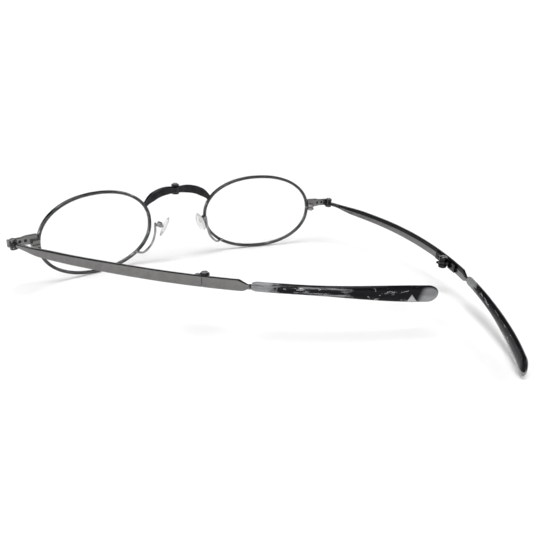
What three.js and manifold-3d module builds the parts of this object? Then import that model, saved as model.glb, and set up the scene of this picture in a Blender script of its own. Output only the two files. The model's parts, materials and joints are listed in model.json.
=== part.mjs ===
// Folding reading glasses: oval metal front that folds at the bridge, temples that fold at the
// endpieces and again at mid length, and acetate tips.
// Units are millimetres. In the front's own frame X runs from the wearer's right to left, Y from the
// lenses back to the ears and Z up; the origin is midway between the lens centres.
import * as THREE from 'three';
import { mergeVertices } from 'three/addons/utils/BufferGeometryUtils.js';
import Module from 'manifold-3d';

const wasm = await Module();
wasm.setup();

// ---------- driving dimensions ----------
const deg = THREE.MathUtils.degToRad;

const LENS_CENTRE = 31.5;              // lens centre from the middle of the bridge
const RIM_A = 20.9;                    // half width and half height of the rim wire's centreline
const RIM_B = 13.5;
const RIM_POWER = 2.14;                // exponent of the superellipse, 2 is a plain ellipse
const RIM_STEPS = 44;
const RIM_WIRE = 1.05;                 // radial width of the rim wire
const RIM_DEPTH = 1.25;                // front to back depth of the rim wire
const WRAP = deg(11.3);                // angle of each lens about the vertical
const GROOVE = { depth: 0.32, width: 0.5 };
const LENS = { thick: 1.25, slack: 0.03, bevelWidth: 0.38, bevelReach: 0.24 };

const HINGE = new THREE.Vector3(60.3, 7.5, 2.1);   // middle of the left endpiece hinge
const PLATE = { thick: 1.2, half: 1.5, reach: 9.9 };
const KNUCKLE = { r: 1.25, half: 1.55, split: 0.62, gap: 0.06, bore: 0.5 };
const SCREW = { r: 0.45, headR: 0.85, head: 0.3 };
const SPLIT_Z = 0.5;                   // height of the slot that closes the rim round its lens
const SPLIT_GAP = 0.24;

const SEAM = 67;                       // where the temple divides, measured from its hinge
const NECK_START = 76.3;
const NECK_END = 79.5;
const TIP_START = 79.8;
const TIP_END = 122.9;
const WIRE_END = 113;
const STRIP = { halfThick: 0.45, half: 1.55, startHalf: 0.75, start: 1.75, full: 9 };
const FOLD_OFFSET = 2.1;               // mid hinge axis, inward of the strip's middle
const FOLD_Y = 66.5;
const FOLD = { r: 1.35, half: 1.75, split: 0.6, gap: 0.05, bore: 0.5 };

const BRIDGE_AXIS = new THREE.Vector3(0, -5.9, 10.6);
const BRIDGE = { r: 1.4, half: 1.8, split: 0.65, halfTall: 1.5, halfDeep: 0.95 };
const PAD_CENTRE = new THREE.Vector3(7.9, -0.3, -0.7);
const PAD_TURN = new THREE.Euler(deg(-10.5), deg(-22.6), deg(-25));
const PAD = { thick: 0.8, wide: 2.1, tall: 3.9, pivot: 0.4 };

const STANCE = deg(-2.542);            // lean of the front when the glasses stand on a table
const TOUCH = 0.04;                    // gap between pieces that touch

// The left temple stands partly closed and the right one open.
const SIDES = [
  { name: 'left', sign: 1, pitch: deg(2.75), closure: deg(31), axis: new THREE.Vector3(0.153, -0.008, 0.988) },
  { name: 'right', sign: -1, pitch: deg(-1.84), closure: deg(2), axis: new THREE.Vector3(0, 0.032, 0.999) },
];

// ---------- materials ----------
const metal = (color, roughness) => new THREE.MeshStandardMaterial({ color, roughness, metalness: 1 });
const GUNMETAL = metal(0x6d6f72, 0.38);
const DARK_METAL = metal(0x2c2d30, 0.3);
const SCREW_STEEL = metal(0x8f9194, 0.3);
const ACETATE = new THREE.MeshStandardMaterial({ color: 0x17171a, roughness: 0.15 });
const LENS_PLASTIC = new THREE.MeshStandardMaterial({ color: 0xeef3f5, roughness: 0.03, transparent: true, opacity: 0.3 });
const SILICONE = new THREE.MeshStandardMaterial({ color: 0xe6e8e6, roughness: 0.35, transparent: true, opacity: 0.7 });

// ---------- solids ----------
function solid(geometry) {
  const bare = geometry.index ? geometry.clone() : geometry;
  bare.deleteAttribute('normal');
  bare.deleteAttribute('uv');
  const merged = mergeVertices(bare, 1e-5);
  return new wasm.Manifold(new wasm.Mesh({
    numProp: 3,
    vertProperties: new Float32Array(merged.attributes.position.array),
    triVerts: new Uint32Array(merged.index.array),
  }));
}

function geometryOf(manifold) {
  const mesh = manifold.getMesh();
  const geometry = new THREE.BufferGeometry();
  geometry.setAttribute('position', new THREE.BufferAttribute(mesh.vertProperties, 3));
  geometry.setIndex(new THREE.BufferAttribute(mesh.triVerts, 1));
  geometry.computeVertexNormals();
  return geometry;
}

const join = (first, ...others) => others.reduce((sum, other) => sum.add(solid(other)), solid(first));
const cut = (body, ...tools) => tools.reduce((rest, tool) => rest.subtract(solid(tool)), body);

function box(lowX, highX, lowY, highY, lowZ, highZ) {
  const geometry = new THREE.BoxGeometry(highX - lowX, highY - lowY, highZ - lowZ);
  return geometry.translate((lowX + highX) / 2, (lowY + highY) / 2, (lowZ + highZ) / 2);
}

// Upright cylinder at (x, y) between two heights.
function post(x, y, lowZ, highZ, radius, sides = 14) {
  const geometry = new THREE.CylinderGeometry(radius, radius, highZ - lowZ, sides);
  return geometry.rotateX(Math.PI / 2).translate(x, y, (lowZ + highZ) / 2);
}

// Screw standing along Z: a shank and a flat head on top of it.
function screw(lowZ, headZ, radius = SCREW.r, headRadius = SCREW.headR, head = SCREW.head) {
  const profile = [[0, lowZ], [radius, lowZ], [radius, headZ], [headRadius, headZ],
    [headRadius, headZ + head * 0.6], [headRadius * 0.8, headZ + head], [0, headZ + head]];
  const geometry = new THREE.LatheGeometry(profile.map(([r, z]) => new THREE.Vector2(r, z)), 12);
  return geometry.rotateX(Math.PI / 2);
}

// Mirror a left-hand geometry for the right-hand side.
function forSide(geometry, side) {
  if (side.sign > 0) return geometry;
  const mirrored = mergeVertices(geometry);
  mirrored.scale(-1, 1, 1);
  const order = mirrored.index.array;
  for (let i = 0; i < order.length; i += 3) [order[i], order[i + 1]] = [order[i + 1], order[i]];
  mirrored.computeVertexNormals();
  return mirrored;
}

function part(name, shape, material, side) {
  const geometry = shape instanceof THREE.BufferGeometry ? shape : geometryOf(shape);
  const mesh = new THREE.Mesh(side ? forSide(geometry, side) : geometry, material);
  mesh.name = side ? `${name}_${side.name}` : name;
  return mesh;
}

function placed(side, position, rotation) {
  const group = new THREE.Group();
  group.position.set(side.sign * position.x, position.y, position.z);
  group.rotation.set(rotation.x, side.sign * rotation.y, side.sign * rotation.z);
  return group;
}

const Z_AXIS = new THREE.Vector3(0, 0, 1);
const tiltTo = (geometry, axis) => geometry.applyQuaternion(
  new THREE.Quaternion().setFromUnitVectors(Z_AXIS, axis.clone().normalize()));

// ---------- front: rim, lens and the lock that closes the rim ----------
function oval(grow) {
  const points = [];
  for (let i = 0; i < RIM_STEPS; i += 1) {
    const t = (2 * Math.PI * i) / RIM_STEPS;
    const reach = (value, half) => (half + grow) * Math.sign(value) * Math.abs(value) ** (2 / RIM_POWER);
    points.push(new THREE.Vector2(reach(Math.cos(t), RIM_A), reach(Math.sin(t), RIM_B)));
  }
  return points;
}

// A plate of the oval outline, standing in the lens plane of the left side.
function ovalPlate(grow, depth, hole) {
  const shape = new THREE.Shape(oval(grow));
  if (hole !== undefined) shape.holes.push(new THREE.Path(oval(hole)));
  const geometry = new THREE.ExtrudeGeometry(shape, { depth, bevelEnabled: false });
  return geometry.translate(0, 0, -depth / 2).rotateX(Math.PI / 2).rotateZ(WRAP).translate(LENS_CENTRE, 0, 0);
}

// Point in the lens plane's directions: along it outward from the rim's outer end, and behind it.
function beside(along, behind) {
  return new THREE.Vector2(
    LENS_CENTRE + (RIM_A + along) * Math.cos(WRAP) - behind * Math.sin(WRAP),
    (RIM_A + along) * Math.sin(WRAP) + behind * Math.cos(WRAP));
}

function besideBlock(alongs, behinds, lowZ, highZ) {
  const corners = [[0, 0], [1, 0], [1, 1], [0, 1]].map(([i, j]) => beside(alongs[i], behinds[j]));
  const geometry = new THREE.ExtrudeGeometry(new THREE.Shape(corners), { depth: highZ - lowZ, bevelEnabled: false });
  return geometry.translate(0, 0, lowZ);
}

const LOCK = { reach: 2.5, back: 1.75, low: -0.5, high: 1.95, screwAlong: 1.5, screwBehind: 1.05, bore: 0.42, screw: 0.37 };

function rim() {
  const half = RIM_WIRE / 2;
  const wire = solid(ovalPlate(half, RIM_DEPTH, -half));
  const groove = ovalPlate(-half + GROOVE.depth, GROOVE.width);
  const slot = besideBlock([-1.5, 1], [-1, 1], SPLIT_Z - SPLIT_GAP / 2, SPLIT_Z + SPLIT_GAP / 2);
  return cut(wire, groove, slot);
}

function lens() {
  const half = RIM_WIRE / 2;
  const body = ovalPlate(-half - LENS.slack, LENS.thick);
  return join(body, ovalPlate(-half + LENS.bevelReach, LENS.bevelWidth));
}

function lockScrewBore(lowZ, highZ, radius) {
  const at = beside(LOCK.screwAlong, LOCK.screwBehind);
  return post(at.x, at.y, lowZ, highZ, radius, 12);
}

function endpiece(side) {
  const plate = besideBlock([-1.5, PLATE.reach], [-PLATE.thick / 2, PLATE.thick / 2],
    HINGE.z - PLATE.half, HINGE.z + PLATE.half);
  const lug = besideBlock([-1.5, LOCK.reach], [0, LOCK.back], SPLIT_Z + SPLIT_GAP / 2, LOCK.high);
  const knuckles = [[-KNUCKLE.half, -KNUCKLE.split], [KNUCKLE.split, KNUCKLE.half]]
    .map(([low, high]) => tiltTo(post(0, 0, low, high, KNUCKLE.r), side.axis).translate(...HINGE));
  const slot = KNUCKLE.split;
  const middle = tiltTo(post(0, 0, -slot, slot, KNUCKLE.r + 0.1), side.axis).translate(...HINGE);
  const bore = tiltTo(post(0, 0, -4, 4, KNUCKLE.bore, 10), side.axis).translate(...HINGE);
  const rimSeat = ovalPlate(RIM_WIRE / 2 + TOUCH, 8);
  const below = besideBlock([-2, 3.2], [-2, 4], -4, SPLIT_Z + SPLIT_GAP / 2);
  return cut(join(plate, lug, ...knuckles), middle, bore, rimSeat, below, lockScrewBore(-2, 1.6, LOCK.bore));
}

function lockBlock() {
  const block = besideBlock([-1.5, LOCK.reach], [-PLATE.thick / 2, LOCK.back], LOCK.low, SPLIT_Z - SPLIT_GAP / 2);
  return cut(solid(block), ovalPlate(RIM_WIRE / 2 + TOUCH, 8), lockScrewBore(-2, 1.6, LOCK.bore));
}

function lockScrew() {
  const at = beside(LOCK.screwAlong, LOCK.screwBehind);
  const upright = screw(-1.5, -LOCK.low + TOUCH, LOCK.screw, 0.6, 0.25);
  return upright.rotateX(Math.PI).translate(at.x, at.y, 0);
}

// ---------- bridge ----------
// A bar whose section follows a curve; the section's size at each step comes from two functions.
function bar(curve, halfWide, halfTall, steps, sides) {
  const geometry = new THREE.CylinderGeometry(1, 1, 1, sides, steps);
  const position = geometry.attributes.position;
  for (let i = 0; i < position.count; i += 1) {
    const t = position.getY(i) + 0.5;
    const tangent = curve.getTangent(t);
    const across = new THREE.Vector3(0, 1, 0).addScaledVector(tangent, -tangent.y).normalize();
    const up = new THREE.Vector3().crossVectors(across, tangent);
    const point = curve.getPoint(t)
      .addScaledVector(across, position.getX(i) * halfWide(t))
      .addScaledVector(up, position.getZ(i) * halfTall(t));
    position.setXYZ(i, point.x, point.y, point.z);
  }
  return geometry;
}

function bridgeHalf(side) {
  const arch = new THREE.QuadraticBezierCurve3(
    new THREE.Vector3(13.4, -3.75, 5.9), new THREE.Vector3(8.6, -4.4, 11.4), new THREE.Vector3(0.12, -4.55, 10.6));
  const arm = bar(arch, () => BRIDGE.halfDeep, () => BRIDGE.halfTall, 10, 10);
  const { x, y, z } = BRIDGE_AXIS;
  const outer = [[z - BRIDGE.half, z - BRIDGE.split], [z + BRIDGE.split, z + BRIDGE.half]];
  const middle = [[z - BRIDGE.split + KNUCKLE.gap, z + BRIDGE.split - KNUCKLE.gap]];
  const mine = side.sign > 0 ? outer : middle;
  const theirs = side.sign > 0 ? [[z - BRIDGE.split, z + BRIDGE.split]] : outer.map(([low, high]) => [low - KNUCKLE.gap, high + KNUCKLE.gap]);
  const cutters = theirs.map(([low, high]) => post(x, y, low, high, BRIDGE.r + 0.1));
  const rimSeat = ovalPlate(RIM_WIRE / 2 + TOUCH, 8);
  const knuckled = join(arm, ...mine.map(([low, high]) => post(x, y, low, high, BRIDGE.r)));
  return cut(knuckled, ...cutters, rimSeat, post(x, y, z - 4, z + 4, KNUCKLE.bore, 10));
}

// ---------- nose pads ----------
function padArm() {
  const frame = new THREE.Matrix4().makeRotationFromEuler(PAD_TURN).setPosition(PAD_CENTRE);
  const end = new THREE.Vector3(2.6, 0, -0.3).applyMatrix4(frame);
  const path = new THREE.CatmullRomCurve3([
    new THREE.Vector3(17.3, -1.7, -9.7), new THREE.Vector3(14.6, -1.2, -9.9),
    new THREE.Vector3(11.8, -0.9, -7.2), new THREE.Vector3(10.5, -0.8, -3.6), end]);
  const circle = new THREE.Shape().absarc(0, 0, 0.4, 0, 2 * Math.PI);
  return new THREE.ExtrudeGeometry(circle, { extrudePath: path, steps: 14, curveSegments: 3, bevelEnabled: false });
}

function padBox() {
  const body = solid(box(0.08, 1.95, -0.95, 0.95, -0.8, 0.8));
  const bore = post(0, 0, -2, 2, 0.4, 12).rotateX(Math.PI / 2).translate(PAD.pivot, 0, 0);
  return cut(body, box(-1, 1.4, -0.55, 0.55, -1, 1), bore);
}

function nosePad() {
  const cushion = new THREE.SphereGeometry(1, 14, 10);
  cushion.scale(PAD.thick, PAD.wide, PAD.tall).translate(-0.9, 0, 0);
  const bore = post(0, 0, -2, 2, 0.4, 12).rotateX(Math.PI / 2).translate(PAD.pivot, 0, 0);
  return cut(join(cushion, box(-0.5, 0.95, -0.45, 0.45, -0.55, 0.55)), bore);
}

const padScrew = () => screw(-1.2, 0.95 + TOUCH, 0.34, 0.6, 0.3).rotateX(-Math.PI / 2).translate(PAD.pivot, 0, 0);

// ---------- temples ----------
// Distance inward of the straight line from the hinge, and height, at a distance along the temple.
const bow = (y) => -0.219 * y + 0.00143 * y ** 2.2;
const lift = (y) => -0.0049 * Math.max(0, y - 30) ** 1.5;

// Bends a unit prism or cylinder along the temple. Its own y runs from -0.5 to 0.5.
function alongTemple(geometry, low, high, halfThick, top, bottom = top, inward = 0) {
  const position = geometry.attributes.position;
  for (let i = 0; i < position.count; i += 1) {
    const y = low + (position.getY(i) + 0.5) * (high - low);
    const z = position.getZ(i);
    position.setXYZ(i, -bow(y) - inward + position.getX(i) * halfThick(y), y, lift(y) + z * (z > 0 ? top(y) : bottom(y)));
  }
  return geometry;
}

const prism = (steps) => new THREE.BoxGeometry(2, 1, 2, 1, steps, 1);
const rod = (steps, sides) => new THREE.CylinderGeometry(1, 1, 1, sides, steps);

function stripFront() {
  const ramp = (y) => THREE.MathUtils.smoothstep(y, STRIP.start, STRIP.full);
  const half = (y) => STRIP.startHalf + (STRIP.half - STRIP.startHalf) * ramp(y);
  return alongTemple(prism(16), STRIP.start, SEAM - TOUCH, () => STRIP.halfThick, half);
}

function stripRear() {
  const fall = (y) => THREE.MathUtils.clamp((y - NECK_START) / (NECK_END - 1 - NECK_START), 0, 1);
  const top = (y) => STRIP.half - (STRIP.half - 0.35) * fall(y);
  const bottom = (y) => STRIP.half - (STRIP.half - 0.9) * fall(y) ** 3;
  return alongTemple(prism(8), SEAM + TOUCH, NECK_END, () => STRIP.halfThick, top, bottom);
}

function templeLeaf(side) {
  const turn = new THREE.Euler(side.pitch, 0, side.closure);
  const axis = side.axis.clone().applyQuaternion(new THREE.Quaternion().setFromEuler(turn).invert());
  const limit = KNUCKLE.split - KNUCKLE.gap;
  const knuckle = tiltTo(post(0, 0, -limit, limit, KNUCKLE.r - 0.05), axis);
  const tang = alongTemple(prism(4), 0.2, 6.4, () => 0.3, () => 0.5, () => 0.5, STRIP.halfThick + TOUCH + 0.3);
  const bore = tiltTo(post(0, 0, -4, 4, KNUCKLE.bore, 10), axis);
  return { leaf: cut(join(knuckle, tang), bore), axis };
}

const FOLD_X = -bow(FOLD_Y) - FOLD_OFFSET;
const FOLD_Z = lift(FOLD_Y);

function foldLeaf(low, high, neckLow, neckHigh, bands, clearBands) {
  const inner = STRIP.halfThick + TOUCH;
  const leaf = alongTemple(prism(4), low, high, () => 0.33, () => 1.3, () => 1.3, inner + 0.33);
  const pieces = bands.flatMap(([from, to]) => [
    post(FOLD_X, FOLD_Y, FOLD_Z + from, FOLD_Z + to, FOLD.r),
    box(FOLD_X - 0.5, -bow(neckHigh) - inner - 0.05, neckLow, neckHigh,
      FOLD_Z + Math.max(from, -1.25), FOLD_Z + Math.min(to, 1.25)),
  ]);
  const clear = clearBands.map(([from, to]) => post(FOLD_X, FOLD_Y, FOLD_Z + from, FOLD_Z + to, FOLD.r + 0.12));
  return cut(join(leaf, ...pieces), ...clear, post(FOLD_X, FOLD_Y, -9, 9, FOLD.bore, 10));
}

function foldLeafFront() {
  const outer = [[-FOLD.half, -FOLD.split], [FOLD.split, FOLD.half]];
  return foldLeaf(60.6, 64.9, 63.9, FOLD_Y, outer, [[-FOLD.split, FOLD.split]]);
}

function foldLeafRear() {
  const reach = FOLD.split - FOLD.gap;
  return foldLeaf(68.15, 72.2, FOLD_Y, 69, [[-reach, reach]], [[-3, -FOLD.split], [FOLD.split, 3]]);
}

const foldScrew = () => screw(-FOLD.half - 0.2, FOLD.half + TOUCH, FOLD.bore - 0.05, 0.9, 0.3)
  .translate(FOLD_X, FOLD_Y, FOLD_Z);

function coreWire() {
  return alongTemple(rod(8, 6), NECK_END + TOUCH, WIRE_END, () => 0.5, () => 0.5);
}

function templeTip() {
  const ease = (y, from, to) => THREE.MathUtils.smoothstep(y, from, to);
  const nose = (y) => Math.sqrt(Math.max(0.02, 1 - Math.max(0, (y - TIP_END + 2.4) / 2.4) ** 2));
  const start = (y) => 0.86 + 0.14 * ease(y, TIP_START, TIP_START + 0.8);
  const thick = (y) => start(y) * nose(y) * (1.2 + 0.22 * ease(y, 82, 95));
  const tall = (y) => start(y) * nose(y) * (1.35 + 1.1 * ease(y, 92, 118));
  const body = solid(alongTemple(rod(22, 12), TIP_START, TIP_END, thick, tall));
  const bore = alongTemple(rod(10, 6), TIP_START - 1, WIRE_END + 0.3, () => 0.56, () => 0.56);
  return cut(body, bore);
}

// ---------- assembly ----------
const glasses = new THREE.Group();
glasses.rotation.x = STANCE;

for (const side of SIDES) {
  glasses.add(
    part('rim', rim(), GUNMETAL, side),
    part('lens', lens(), LENS_PLASTIC, side),
    part('endpiece', endpiece(side), GUNMETAL, side),
    part('rim_lock', lockBlock(), GUNMETAL, side),
    part('rim_screw', lockScrew(), SCREW_STEEL, side),
    part('bridge_half', bridgeHalf(side), DARK_METAL, side),
    part('pad_arm', padArm(), SCREW_STEEL, side),
  );

  const pad = placed(side, PAD_CENTRE, PAD_TURN);
  pad.add(
    part('pad_box', padBox(), SCREW_STEEL, side),
    part('nose_pad', nosePad(), SILICONE, side),
    part('pad_screw', padScrew(), SCREW_STEEL, side),
  );
  glasses.add(pad);

  const { leaf, axis } = templeLeaf(side);
  const hingeScrew = tiltTo(screw(-KNUCKLE.half - 0.2, KNUCKLE.half + TOUCH), axis);
  const temple = placed(side, HINGE, new THREE.Euler(side.pitch, 0, side.closure));
  temple.add(
    part('temple_leaf', leaf, GUNMETAL, side),
    part('temple_screw', hingeScrew, SCREW_STEEL, side),
    part('temple_front', stripFront(), GUNMETAL, side),
    part('fold_leaf_front', foldLeafFront(), DARK_METAL, side),
    part('fold_screw', foldScrew(), SCREW_STEEL, side),
    part('fold_leaf_rear', foldLeafRear(), DARK_METAL, side),
    part('temple_rear', stripRear(), GUNMETAL, side),
    part('core_wire', coreWire(), DARK_METAL, side),
    part('temple_tip', templeTip(), ACETATE, side),
  );
  glasses.add(temple);
}

const bridgeScrew = screw(-BRIDGE.half - 0.2, BRIDGE.half + TOUCH).translate(...BRIDGE_AXIS);
glasses.add(part('bridge_screw', bridgeScrew, SCREW_STEEL));

// Stand the glasses on the plane z = 0, centred on the vertical axis.
glasses.updateMatrixWorld(true);
const extent = new THREE.Box3().setFromObject(glasses, true);
const middle = extent.getCenter(new THREE.Vector3());
glasses.position.set(-middle.x, -middle.y, -extent.min.z);

export default glasses;
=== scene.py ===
import json
import math

import bmesh
import bpy
from mathutils import Matrix, Vector


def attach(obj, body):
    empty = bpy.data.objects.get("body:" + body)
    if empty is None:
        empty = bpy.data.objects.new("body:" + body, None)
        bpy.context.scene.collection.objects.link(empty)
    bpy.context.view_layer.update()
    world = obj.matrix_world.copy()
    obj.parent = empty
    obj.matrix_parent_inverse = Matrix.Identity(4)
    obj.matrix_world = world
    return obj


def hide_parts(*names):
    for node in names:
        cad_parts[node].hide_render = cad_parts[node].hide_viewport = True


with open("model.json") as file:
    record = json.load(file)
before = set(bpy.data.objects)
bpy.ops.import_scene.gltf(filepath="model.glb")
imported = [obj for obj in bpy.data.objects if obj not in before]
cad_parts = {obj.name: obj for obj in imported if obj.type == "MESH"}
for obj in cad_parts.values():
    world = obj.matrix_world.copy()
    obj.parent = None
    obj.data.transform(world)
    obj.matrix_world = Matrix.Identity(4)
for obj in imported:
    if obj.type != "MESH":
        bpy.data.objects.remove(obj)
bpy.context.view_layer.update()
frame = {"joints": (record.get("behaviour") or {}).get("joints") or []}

MM = 0.001
deg = math.radians

# ---------- dimensions, in millimetres, as in the frame ----------
# The front stands in its own coordinates: X to the wearer's left, Y to the back, Z up from the lens centres.
# A half is measured from the middle of its piece.
LENS_CENTRE = 31.5
RIM_A, RIM_B, RIM_POWER = 20.9, 13.5, 2.14
RIM_WIRE, RIM_DEPTH, RIM_ROUND = 1.05, 1.25, 0.36
GROOVE_DEPTH, GROOVE_MOUTH, GROOVE_FLOOR = 0.32, 0.25, 0.12
LENS_HALF, LENS_SLACK, BEVEL_REACH, BEVEL_HALF = 0.52, 0.03, 0.24, 0.2
FRONT_SAG, BACK_SAG = 1.7, 1.0
WRAP = deg(11.3)
HINGE = Vector((60.3, 7.5, 2.1))

SPLIT_Z, SPLIT_HALF = 0.5, 0.12
PLATE_START, PLATE_END, PLATE_DEEP, PLATE_HALF = 0.35, 9.9, 0.6, 1.5
TAPER_START, TAPER_END, TAPER = 3.6, 5.4, 0.2
LUG_FRONT = 0.1
LOCK_START, LOCK_END, LOCK_BACK, LOCK_LOW, LOCK_HIGH = 0.1, 2.5, 1.75, -0.5, 1.95
LOCK_SCREW = Vector((1.5, 1.05, 0))
RIVET_PLACES = (4.4, 6.2)
RIVET_PROFILE = [(0.5, 0.4), (0.5, 0.62), (0.44, 0.72), (0.3, 0.79), (0.1, 0.82)]
KNUCKLE_R, KNUCKLE_HALF, KNUCKLE_SPLIT, BORE = 1.25, 1.55, 0.62, 0.5
SADDLE_START, SADDLE_END, SADDLE_FRONT, SADDLE_BACK, SADDLE_HALF = 7.6, 9.4, 0.2, 1.5, 1.25
GAP = 0.06
TOUCH = 0.04

BRIDGE_AXIS = Vector((0, -5.9, 10.6))
BRIDGE_SPLIT, BRIDGE_R, BRIDGE_HALF = 0.65, 1.4, 1.8
BRIDGE_CURVE = Vector((12.95, -3.7, 6.1)), Vector((8.6, -4.4, 11.4)), Vector((0.12, -4.55, 10.6))

PAD_CENTRE = Vector((7.9, -0.3, -0.7))
PAD_TURN = (deg(-10.5), deg(-22.6), deg(-25))
PAD_ARM = [Vector((17.3, -1.7, -9.7)), Vector((14.6, -1.2, -9.9)), Vector((11.8, -0.9, -7.2)),
           Vector((10.5, -0.8, -3.6))]
PAD_ARM_END = Vector((2.5, 0, -0.3))
PAD_ARM_R = 0.4
BOX_WALL, BOX_END, BOX_WIDE, BOX_HALF = 1.4, 1.95, 0.95, 0.8
CHEEK_START, CHEEK_END, CHEEK_INSIDE = 0.08, 1.7, 0.56
STUD_LOW, STUD_HIGH = (-0.5, -0.45, -0.55), (0.95, 0.45, 0.55)
PAD_X, PAD_WIDE, PAD_HALF, PAD_FACE, PAD_BACK, PAD_TAPER = -0.9, 1.89, 3.9, 0.8, 0.62, 0.16

STRIP_THICK, STRIP_HALF, STRIP_ROUND = 0.45, 1.55, 0.17
STRIP_START, SEAM, NECK_START, NECK_END = 1.75, 67.0, 76.3, 79.5
ROOT_START, ROOT_END, ROOT_THICK, ROOT_HALF = 1.0, 6.4, 0.3, 0.5
LEAF_THICK, LEAF_HALF, LEAF_NECK = 0.33, 1.3, 1.25
FRONT_LEAF, FRONT_NECK = (60.6, 64.9), 63.9
REAR_LEAF, REAR_NECK = (68.15, 72.2), 69
FOLD_OFFSET, FOLD_Y, FOLD_R, FOLD_HALF, FOLD_SPLIT = 2.1, 66.5, 1.35, 1.75, 0.6
WIRE_END = 113.0
TIP_START, TIP_END, TIP_NOSE = 79.8, 122.9, 2.4

STANCE = deg(-2.542)
# For each side: its sign along X, the temple's pitch and closure, and its hinge's axis.
SIDES = {
    "left": (1, deg(2.75), deg(31), Vector((0.153, -0.008, 0.988)).normalized()),
    "right": (-1, deg(-1.84), deg(2), Vector((0, 0.032, 0.999)).normalized()),
}

# ---------- places ----------
left_hinge = next(j for j in frame["joints"] if j["name"] == "temple_fold_left")["pos_m"]
LEAN = Matrix.Rotation(STANCE, 4, "X")
ORIGIN = Vector(left_hinge) / MM - LEAN @ HINGE
FRONT = Matrix.Translation(ORIGIN) @ LEAN


def turns(rx, ry, rz):
    return Matrix.Rotation(rx, 4, "X") @ Matrix.Rotation(ry, 4, "Y") @ Matrix.Rotation(rz, 4, "Z")


def turned_frame(sign, place, turn):
    """Coordinates at a place on the front, turned there, and mirrored where the sign is negative."""
    rx, ry, rz = turn
    place = Vector((sign * place.x, place.y, place.z))
    rotation = turns(rx, sign * ry, sign * rz)
    return FRONT @ Matrix.Translation(place) @ rotation @ Matrix.Diagonal((sign, 1, 1, 1))


# ---------- skins: a list of points in millimetres and a list of faces ----------
def loft(rings, closed=False):
    """Joins rings of points one after another, with end caps, or round in a loop if closed."""
    size, count = len(rings[0]), len(rings)
    points = [p for ring in rings for p in ring]
    faces = []
    for i in range(count if closed else count - 1):
        here, there = i * size, ((i + 1) % count) * size
        for k in range(size):
            m = (k + 1) % size
            faces.append((here + k, here + m, there + m, there + k))
    if not closed:
        faces.append(tuple(range(size)))
        faces.append(tuple(range((count - 1) * size, count * size)))
    return points, faces


def rounded(a, b, r, n=4):
    """A rectangle of half sizes a and b with round corners of n steps."""
    r = max(0.01, min(r, a * 0.98, b * 0.98))
    out = []
    for q, (sx, sy) in enumerate(((1, 1), (-1, 1), (-1, -1), (1, -1))):
        for k in range(n + 1):
            t = math.pi / 2 * (q + k / n)
            out.append((sx * (a - r) + r * math.cos(t), sy * (b - r) + r * math.sin(t)))
    return out


def stations(low, high, r, steps, n=4):
    """Places along a length and how far the section draws in there, so that both ends are rounded."""
    arcs = [math.pi / 2 * (1 - k / n) for k in range(n + 1)]
    start = [(low + r * (1 - math.sin(t)), r * (1 - math.cos(t))) for t in arcs]
    end = [(high - r * (1 - math.sin(t)), r * (1 - math.cos(t))) for t in reversed(arcs)]
    middle = [(low + r + (high - low - 2 * r) * k / steps, 0) for k in range(1, steps)]
    return start + middle + end


def block(low, high, r=0.15, warp=None, steps=1):
    """A box between two corners with all its edges rounded, and each point moved by warp."""
    (x0, y0, z0), (x1, y1, z1) = low, high
    rings = []
    for y, inset in stations(y0, y1, r, steps):
        section = rounded((x1 - x0) / 2 - inset, (z1 - z0) / 2 - inset, r - inset)
        ring = [Vector(((x0 + x1) / 2 + px, y, (z0 + z1) / 2 + pz)) for px, pz in section]
        rings.append([warp(p) for p in ring] if warp else ring)
    return loft(rings)


def lathe(profile, axis=None, at=(0, 0, 0), sides=40, bored=False):
    """Turns a profile of radius and height round an axis, open along it if bored."""
    turn = Vector((0, 0, 1)).rotation_difference(axis) if axis else None
    at = Vector(at)

    def spot(r, z, t):
        p = Vector((r * math.cos(t), r * math.sin(t), z))
        return at + (turn @ p if turn else p)

    angles = [2 * math.pi * k / sides for k in range(sides)]
    if bored:
        return loft([[spot(r, z, t) for r, z in profile] for t in angles], closed=True)
    return loft([[spot(max(r, 0.01), z, t) for t in angles] for r, z in profile])


def collar(radius, low, high, bore=BORE, axis=None, at=(0, 0, 0), r=0.16, sides=40):
    """A hinge knuckle: a short tube with rounded rims."""
    arc = [(r * (1 - math.cos(t)), r * (1 - math.sin(t))) for t in (math.pi / 6 * k for k in range(4))]
    chamfer = 0.06
    profile = [(bore, low + chamfer), (bore + chamfer, low)]
    profile += [(radius - a, low + b) for a, b in reversed(arc)]
    profile += [(radius - a, high - b) for a, b in arc]
    profile += [(bore + chamfer, high), (bore, high - chamfer)]
    return lathe(profile, axis, at, sides, bored=True)


DOME = [(0.5, 0.85), (0.85, 0.5)]  # how far past a wire's end and how wide, as shares of its radius


def tube(path, radius, sides=14):
    """A round wire through a list of points, with domed ends."""
    rings = []
    last = len(path) - 1
    normal = (path[1] - path[0]).normalized().orthogonal().normalized()
    circle = [2 * math.pi * k / sides for k in range(sides)]
    for i, p in enumerate(path):
        tangent = (path[min(i + 1, last)] - path[max(i - 1, 0)]).normalized()
        normal = (normal - tangent * normal.dot(tangent)).normalized()
        side = tangent.cross(normal)
        size = radius(i / last) if callable(radius) else radius
        cuts = [(0, 1)]
        if i == 0:
            cuts = [(-shift, shrink) for shift, shrink in reversed(DOME)] + cuts
        elif i == last:
            cuts = cuts + DOME
        for shift, shrink in cuts:
            centre = p + tangent * shift * size
            rings.append([centre + (normal * math.cos(t) + side * math.sin(t)) * size * shrink
                          for t in circle])
    return loft(rings)


def catmull(points, steps):
    """A smooth path through the points."""
    pts = [points[0] * 2 - points[1]] + points + [points[-1] * 2 - points[-2]]
    path = []
    for i in range(1, len(pts) - 2):
        a, b, c, d = pts[i - 1:i + 3]
        for k in range(steps):
            t = k / steps
            path.append(0.5 * (2 * b + (c - a) * t + (2 * a - 5 * b + 4 * c - d) * t * t
                               + (3 * b - a - 3 * c + d) * t ** 3))
    return path + [points[-1]]


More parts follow.
